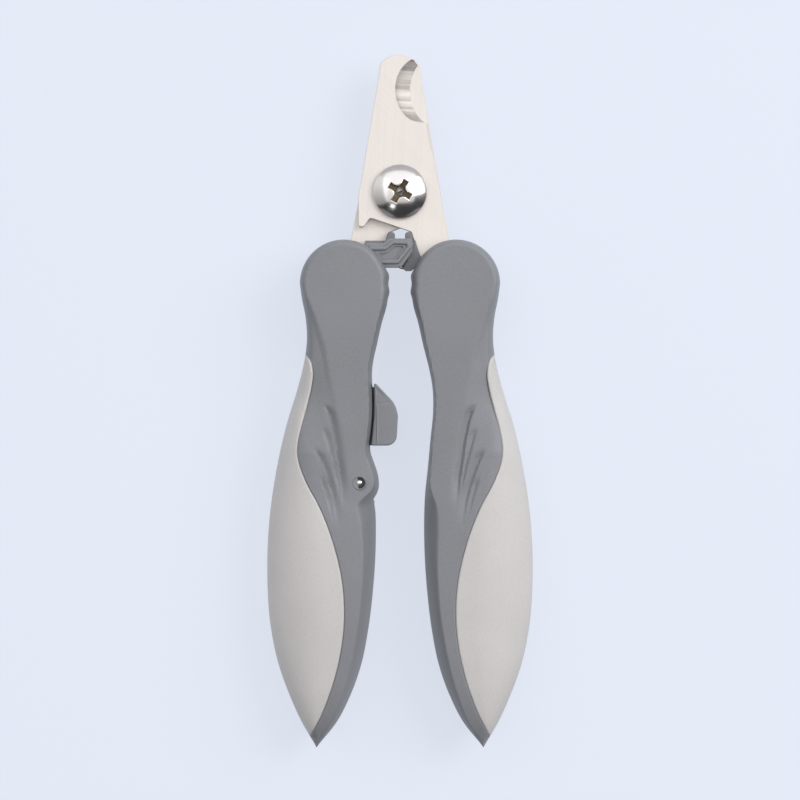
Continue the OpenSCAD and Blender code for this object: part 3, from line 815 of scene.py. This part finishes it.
def lathe(profile, x, y, turns=96):
    """Surface of revolution about a z axis through (x, y) from (radius, z) rows."""
    r, z = np.array(profile, float).T
    a = np.linspace(0, 2 * np.pi, turns, endpoint=False)
    grid = np.stack(
        [
            x + r[:, None] * np.cos(a), y + r[:, None] * np.sin(a),
            np.broadcast_to(z[:, None], (len(r), turns)),
        ],
        axis=-1,
    )
    return grid, ring_faces(len(r), turns)


def polished_steel(name, colour, roughness):
    """Plated steel with faint smudges; where the recess is marked it is painted dark brown as shade
    and turns dull.
    """
    material, tree, shader = new_material(name, Metallic=1.0)
    place = tree.nodes.new("ShaderNodeTexCoord").outputs["Object"]
    smudge = shader_node(
        tree, "ShaderNodeTexNoise", {"Vector": place, "Scale": 500, "Detail": 4}
    ).outputs["Fac"]
    gloss = shader_node(
        tree, "ShaderNodeMapRange",
        {"Value": smudge, "From Min": 0.3, "From Max": 0.7, "To Min": roughness * 0.8,
         "To Max": roughness * 1.3},
    ).outputs[0]
    mark = shader_node(tree, "ShaderNodeAttribute", attribute_name="recess").outputs["Fac"]
    # Painted shade: the marked recess is mixed towards a dark brown.
    tint = shader_node(
        tree, "ShaderNodeMix",
        {"Factor": mark, "A": (*colour, 1), "B": (0.1, 0.075, 0.05, 1)}, data_type="RGBA",
    ).outputs[2]
    dull = shader_node(
        tree, "ShaderNodeMix", {"Factor": mark, "A": gloss, "B": 0.42}, data_type="FLOAT"
    ).outputs[0]
    tree.links.new(tint, shader.inputs["Base Color"])
    tree.links.new(dull, shader.inputs["Roughness"])
    return material


chrome = polished_steel("screw_chrome", (0.72, 0.69, 0.67), 0.17)
bright_steel = polished_steel("bright_steel", (0.78, 0.74, 0.7), 0.25)
DOME_R, DOME_TOP, DOME_FOOT = 5.9, 4.9, 2.3
BAR_HALF, BAR_REACH, BAR_TURNS = 0.46, 2.65, (60, 150)
# The head is part of a ball; the cross recess is two flared bars and a round middle, and its
# floor rises in the middle as a small four-sided pyramid.
radii = np.concatenate([np.linspace(0, 2.9, 150), np.linspace(2.9, DOME_R - 0.25, 40)[1:]])
angles = np.linspace(0, 2 * np.pi, 480, endpoint=False)
r, a = np.meshgrid(radii, angles, indexing="ij")
rise = DOME_TOP - DOME_FOOT - 0.55
ball = (DOME_R**2 + rise**2) / (2 * rise)
dome = DOME_TOP - ball + np.sqrt(ball**2 - r**2)
bars, sides = [], []
for heading in BAR_TURNS:
    u = r * np.cos(a - math.radians(heading))
    v = r * np.sin(a - math.radians(heading))
    half_width = BAR_HALF + 0.09 * np.abs(u)
    bars.append(np.maximum(np.abs(v) - half_width, np.abs(u) - BAR_REACH))
    sides.append(np.abs(u))


def soft_least(p, q, k):
    """Smallest of two distances, with the corner between them filled in over a width k."""
    share = np.clip(0.5 + 0.5 * (q - p) / k, 0, 1)
    return q * (1 - share) + p * share - k * share * (1 - share)


distance = soft_least(soft_least(bars[0], bars[1], 0.5), r - 1.3, 0.6)
inside = smooth_step(-distance / 0.16)
pyramid = np.clip(1 - np.maximum(*sides) / 0.85, 0, 1)
floor_z = DOME_TOP - 1.4 + 0.16 * r + 0.75 * pyramid
z = dome - 0.06 * smooth_step(1 - np.abs(distance) / 0.14) * (distance > 0)
z = z + inside * (np.minimum(floor_z, dome) - z)
top_grid = np.stack([r * np.cos(a), PIVOT_Y + r * np.sin(a), z], axis=-1)
edge_z = z[-1, 0]
foot = [
    (DOME_R - 0.12, edge_z - 0.1), (DOME_R - 0.03, edge_z - 0.22), (DOME_R, edge_z - 0.4),
    (DOME_R, DOME_FOOT + 0.15), (DOME_R - 0.15, DOME_FOOT), (3, DOME_FOOT), (3, -2),
    (2.1, -2), (2.1, -4), (1.9, -4.2), (0, -4.2),
]
foot_grid, _ = lathe(foot, 0, PIVOT_Y, len(angles))
screw_grid = np.concatenate([top_grid, foot_grid])
# Painted shade for the cross recess: its floor is darkened, the raised middle pyramid far less.
recess_shade = inside * (1 - 0.75 * smooth_step(pyramid / 0.3))
recess = np.concatenate([recess_shade, np.zeros(foot_grid.shape[:2])])
make_piece(
    "pivot_screw_turned", screw_grid + LIFT, ring_faces(*screw_grid.shape[:2]),
    chrome, "left_handle", ["pivot_screw"], sharp=50, marks={"recess": recess},
)
washer = [
    (BORE_R, 2.0), (5.1, 2.0), (5.2, 2.08), (5.2, 2.22), (5.1, 2.3), (BORE_R, 2.3), (BORE_R, 2.0),
]
grid, faces = lathe(washer, 0, PIVOT_Y)
make_piece(
    "pivot_washer_ring", grid + LIFT, faces, bright_steel, "left_handle",
    ["pivot_washer"],
)
NUT_R, NUT_SWEEP = 5.5, 1.15
nut = [(2.15, -2.0), (NUT_R - 0.1, -2.0), (NUT_R, -2.1), (NUT_R, -2.5)]
for t in np.linspace(0, NUT_SWEEP, 24):
    nut.append((NUT_R * math.cos(t) ** 0.55, -2.5 - 1.85 * math.sin(t)))
nut += [(2.15, -4.3), (2.15, -2.0)]
grid, faces = lathe(nut, 0, PIVOT_Y)
make_piece(
    "pivot_nut_dome", grid + LIFT, faces, chrome, "left_handle",
    ["pivot_nut"],
)

# ---------------------------------------------------------------- rivets
# Two plain steel pins through each tang, hidden between the shells, that hold the blade.
RIVET_ROWS = [(0, -5.5), (1.1, -5.5), (1.2, -5.4), (1.2, 5.4), (1.1, 5.5), (0, 5.5)]
RIVET_R = 1.2
for hand in SIDE:
    low, high = np.round(np.array(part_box(f"{hand}_tang_rivets")) / MM, 1)
    x = (low[0] + high[0]) / 2
    rivet_points, rivet_faces = joined(
        [lathe(RIVET_ROWS, x, y, 32) for y in (high[1] - RIVET_R, low[1] + RIVET_R)]
    )
    make_piece(
        f"{hand}_rivet_pins", rivet_points + LIFT, rivet_faces, bright_steel,
        f"{hand}_handle", [f"{hand}_tang_rivets"],
    )

# ---------------------------------------------------------------- spring seats
# Moulded blocks between the heads: each carries a peg for the coil and a post that lines its
# own blade's tang. The right-hand one is the left-hand one turned over.
SEAT_CORNERS = [(-7.5, 28.6, 0.1), (-3.4, 28.6, 0.5), (-3.4, 34.7, 0.5), (-7.5, 34.7, 0.1)]
POST_CORNERS = [
    (-6.6, 33.9, 0.1), (-1.1, 33.9, 0.2), (-1.1, 36.6, 0.62), (-2.5, 36.6, 0.3),
    (-3.1, 34.75, 0.2), (-6.6, 34.75, 0.1),
]
LIP_CORNERS = [
    (-3.3, 34.8, 0.1), (-2.9, 34.8, 0.2), (-2.7, 33, 1), (-1.6, 30.6, 1), (-0.6, 28.7, 0.4),
    (-1.2, 28.1, 0.4), (-2.4, 28.1, 0.4), (-3.2, 28.8, 0.4), (-5, 28.8, 0.1), (-4.25, 31.7, 0.5),
]
dark_plastic = grained_material(
    "dark_plastic", (0.16, 0.165, 0.175), 0.48, 3200, 0.1, 0.00003, Specular_IOR_Level=0.4
)


block = plate([rounded_path(SEAT_CORNERS, True)], rim_profile(-1.93, 2.8, 0.25))
post = plate([rounded_path(POST_CORNERS, True)], rim_profile(-1.93, 1.93, 0.25))
PEG_ROWS = [(0, -3.6), (1.4, -3.6), (1.4, -1.75), (1.25, -1.6), (0, -1.6)]
COIL_Y = round(sum(corner[1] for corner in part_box("return_spring")) / 2 / MM, 2)
peg_grid, peg_faces = lathe(PEG_ROWS, 0, 0, 48)
peg_grid = np.stack([peg_grid[..., 2], peg_grid[..., 0] + COIL_Y, peg_grid[..., 1]], axis=-1)
lip = plate([rounded_path(LIP_CORNERS, True)[::-1]], rim_profile(-2.7, -2.1, 0.12))
seat_parts = [block, post, (peg_grid, peg_faces[:, ::-1])]
TURNS = {"left": 1, "right": -1}
for hand, turn in TURNS.items():
    seat_points, seat_faces = joined(seat_parts + ([lip] if hand == "right" else []))
    make_piece(
        f"{hand}_seat_block", seat_points * (turn, 1, turn) + LIFT, seat_faces,
        dark_plastic, f"{hand}_handle", [f"{hand}_spring_seat"],
    )

# ---------------------------------------------------------------- cover arms
# A flat arm from each head across the coil, with a raised rounded rib round a sunk hexagon.
ARM_CORNERS = [
    (-7.5, 34.1, 0.1), (-7.5, 28.8, 0.1), (-0.3, 28.8, 0.7), (0.65, 29.3, 0.5), (2.6, 32.2, 0.6),
    (2.85, 34.1, 0.5), (2.4, 35.1, 0.6), (-2.5, 35.1, 0.5), (-3.5, 34.1, 0.5),
]
HEX_CORNERS = [
    (-4.7, 31.9, 0.3), (-3.85, 30.6, 0.3), (-1.1, 30.5, 0.3), (0.95, 33.1, 0.25),
    (0.6, 33.6, 0.2), (-1.2, 33.6, 0.3), (-2.85, 32.25, 0.3),
]
RIB_CORNERS = [
    (-6.6, 32.95, 0), (-3.3, 32.95, 0.5), (-1.45, 34.3, 0.6), (1.7, 34.2, 0.5),
    (2.05, 33.3, 0.4), (-0.55, 30.05, 0.5), (-4.4, 30.05, 0),
]


def bead(path, half_width, z_low, z_high):
    """A rounded bead on an open path: its section, half a superellipse, is carried along."""
    t = np.gradient(path, axis=0)
    side = np.stack([-t[:, 1], t[:, 0]], 1) / np.hypot(*t.T)[:, None]
    turn = np.linspace(0, np.pi, 15)
    across = np.sign(np.cos(turn)) * np.abs(np.cos(turn)) ** 0.6 * half_width
    up = z_low + (z_high - z_low) * np.sin(turn) ** 0.6
    across, up = np.append(across, [-half_width, half_width]), np.append(up, [z_low - 0.2] * 2)
    grid = path[:, None, :] + across[None, :, None] * side[:, None, :]
    grid = np.concatenate([grid, np.broadcast_to(up[None, :, None], (*grid.shape[:2], 1))], 2)
    rows, columns = grid.shape[:2]
    caps = [list(range(columns))[::-1], list(range((rows - 1) * columns, rows * columns))]
    return grid, list(ring_faces(rows, columns)) + caps


outline = rounded_path(ARM_CORNERS, True)
base = plate([outline], rim_profile(2.8, 3.75, 0.1))
frame_plate = plate(
    [outline, rounded_path(HEX_CORNERS, True, 0.2)[::-1]], rim_profile(3.6, 4.1, 0.15)
)
rib = bead(rounded_path(RIB_CORNERS, False, 0.12), 0.47, 3.95, 4.6)
arm_points, arm_faces = joined([base, frame_plate, rib])
for hand, turn in TURNS.items():
    make_piece(
        f"{hand}_arm_cover", arm_points * (turn, 1, turn) + LIFT, arm_faces,
        slate_plastic, f"{hand}_handle", [f"{hand}_cover_arm"],
    )

# ---------------------------------------------------------------- return spring
# A coil of round steel wire that pushes the two heads apart; its ends sit on the pegs. The
# wire's round section is carried along a helix about x.
COIL_TURNS, COIL_R, WIRE_R, COIL_HALF, PEG_GAP = 4.5, 2.1, 0.3, 3.05, 3.4
spring_steel = polished_steel("spring_wire", (0.62, 0.6, 0.58), 0.3)
t = np.linspace(0, 1, 30 * 9 + 1)[:, None]
q = np.linspace(0, 2 * np.pi, 14, endpoint=False)[None, :]
a = 2 * np.pi * COIL_TURNS * t
r = COIL_R + WIRE_R * np.cos(q)
coil = np.stack(
    [COIL_HALF * (2 * t - 1) + WIRE_R * np.sin(q), COIL_Y + r * np.cos(a), r * np.sin(a)],
    axis=-1,
)
rows, columns = coil.shape[:2]
caps = [list(range(columns))[::-1], list(range((rows - 1) * columns, rows * columns))]
spring = make_piece(
    "return_spring_coil", coil + LIFT, list(ring_faces(rows, columns)) + caps, spring_steel,
    None, ["return_spring"],
)
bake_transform(spring)

# ---------------------------------------------------------------- lock lever
# A flat lever in a slot of the left handle: eye on a steel pin, stem, hook at the head end, and
# a wider thumb tab that stands out between the handles.
PIN_SPOT = np.array(JOINT_SPOTS["lever_pivot"][:2]) / MM
LEVER_LEAN = math.radians(-1)
TAB_HALF = 4.3
LEVER_CORNERS = [
    (1.8, 2.6, 0.8), (1.8, 33.4, 0.6), (2.45, 34.5, 0.3), (2.3, 34.87, 0.1), (-0.2, 34.8, 0.6),
    (-1.2, 35.3, 0.7), (-1.2, 36.7, 0.7), (-0.2, 37.2, 0.6), (2.3, 37.13, 0.1),
    (1.9, 38.6, 1.2), (-2.6, 38.6, 2.2), (-2.6, 34.6, 1), (-1.8, 33.2, 1), (-1.8, 3.1, 0.8),
    (-3.6, 1.8, 1.2), (-3.6, -3.6, 3), (3.6, -3.6, 3), (3.6, 1.8, 1.2),
]
WEB_CORNERS = [(-9.2, 3.0, 0.2), (-9.2, -10.4, 0.2), (-4.9, -9.3, 0.2), (-4.9, 3.0, 0.2)]
TAB_CORNERS = [
    (-5.64, 4.2, 0.3), (-5.58, 0, 3), (-5.62, -3, 3), (-5.95, -7, 3), (-6.25, -9.65, 0.3),
    (-0.8, -9.65, 2.2), (-0.42, -3, 5), (-1.2, -0.5, 4.5),
]
local = rounded_path(LEVER_CORNERS, True)
lean_x = np.array([math.cos(LEVER_LEAN), math.sin(LEVER_LEAN)])
turned = np.stack([local @ lean_x, local @ (lean_x[::-1] * (-1, 1))], axis=1)
stem = plate([turned + PIN_SPOT, circle(*PIN_SPOT, 1.05)[::-1]], rim_profile(-1.5, 1.5, 0.2))
web = plate([rounded_path(WEB_CORNERS, True)], rim_profile(-1.35, 1.35, 0.15))
stem_points, stem_faces = joined([stem, web])
make_piece(
    "lock_lever_stem", stem_points + LIFT, stem_faces, slate_plastic,
    "lock_lever", ["lock_lever"],
)
# The tab's two faces carry a fine ridge by the handle, a crease across and a slope beyond it.
tab_loop = rounded_path(TAB_CORNERS, True, 0.15)
tab_points, tab_faces = plate([tab_loop], rim_profile(-TAB_HALF, TAB_HALF, 0.32), spacing=0.16)
x, y, z = tab_points.T
edge_gap = np.hypot(*(tab_points[:, None, :2] - tab_loop[None]).transpose(2, 0, 1)).min(axis=1)
ridge = 0.13 * np.exp(-(((x + 4.95) / 0.13) ** 2)) * smooth_step((-0.6 - y) / 0.8)
crease = -0.08 * np.exp(-(((y + 0.55 - 0.12 * (x + 5)) / 0.14) ** 2))
slope = -0.06 * np.clip(y + 0.5, 0, 4)
relief = (ridge + crease + slope) * smooth_step((edge_gap - 0.34) / 0.3)
tab_points[:, 2] += np.where(np.abs(z) > TAB_HALF - 0.01, np.sign(z) * relief, 0)
make_piece(
    "lock_lever_tab", tab_points + LIFT, tab_faces, slate_plastic, "lock_lever",
    ["lock_lever"], sharp=45,
)

# ---------------------------------------------------------------- lever pins
# A domed steel pin through the handle and the lever's eye, in a raised ring on both faces, and
# a short hidden pin in the right handle that the hook grips.
# Painted shade: a near-black disc sits in the well round the pin on each face, standing for the
# shade inside the well.
well_shade_black = grained_material("well_shade_black", (0.012, 0.012, 0.013), 0.6, 3200, 0.1, 0.00001)
skin_points = SKINS["left"]["plastic"].reshape(-1, 3)
face_z = skin_points[np.hypot(*(skin_points[:, :2] + PIN_SPOT * (1, -1)).T).argmin(), 2]
pin_rows = [(0, 0.28), (0.3, 0.23), (0.53, 0.1), (0.68, -0.08), (0.72, -0.5), (1, -0.6)]
pin_half = [(r, face_z + z) for r, z in pin_rows]
pin = pin_half + [(r, -z) for r, z in pin_half[::-1]]
grid, faces = lathe(pin, *PIN_SPOT, 64)
make_piece(
    "lock_pin_domed", grid + LIFT, faces[:, ::-1], bright_steel, "left_handle",
    ["lock_pin"],
)
ring_rows = [
    (1.6, -0.2), (1.56, 0.1), (1.48, 0.2), (1.38, 0.24), (1.29, 0.2), (1.24, 0.12),
    (1.21, 0.02), (1.2, -0.2), (1.6, -0.2),
]
grid, faces = lathe([(r, face_z + z) for r, z in ring_rows], *PIN_SPOT, 64)
# The near-black disc of painted shade in the well, on both faces.
well_rows = [(0, -0.15), (1.22, -0.15), (1.22, 0.03), (0, 0.03)]
well, well_faces = lathe([(r, face_z + z) for r, z in well_rows], *PIN_SPOT, 48)
well_points, well_list = joined([(well, well_faces[:, ::-1]), (well * (1, 1, -1), well_faces)])
make_piece(
    "lock_pin_well_shade", well_points + LIFT, well_list, well_shade_black, "left_handle",
)
eye_points, eye_faces = joined([(grid, faces), (grid * (1, 1, -1), faces[:, ::-1])])
make_piece(
    "lock_pin_eye", eye_points + LIFT, eye_faces, slate_plastic, "left_handle",
)
catch = [(0, 3.7), (0.85, 3.7), (1, 3.55), (1, -3.55), (0.85, -3.7), (0, -3.7)]
catch_spot = np.round(np.mean(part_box("catch_pin"), axis=0)[:2] / MM, 2)
grid, faces = lathe(catch, *catch_spot, 48)
make_piece(
    "catch_pin_turned", grid + LIFT, faces[:, ::-1], bright_steel, "right_handle",
    ["catch_pin"],
)

low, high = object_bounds()
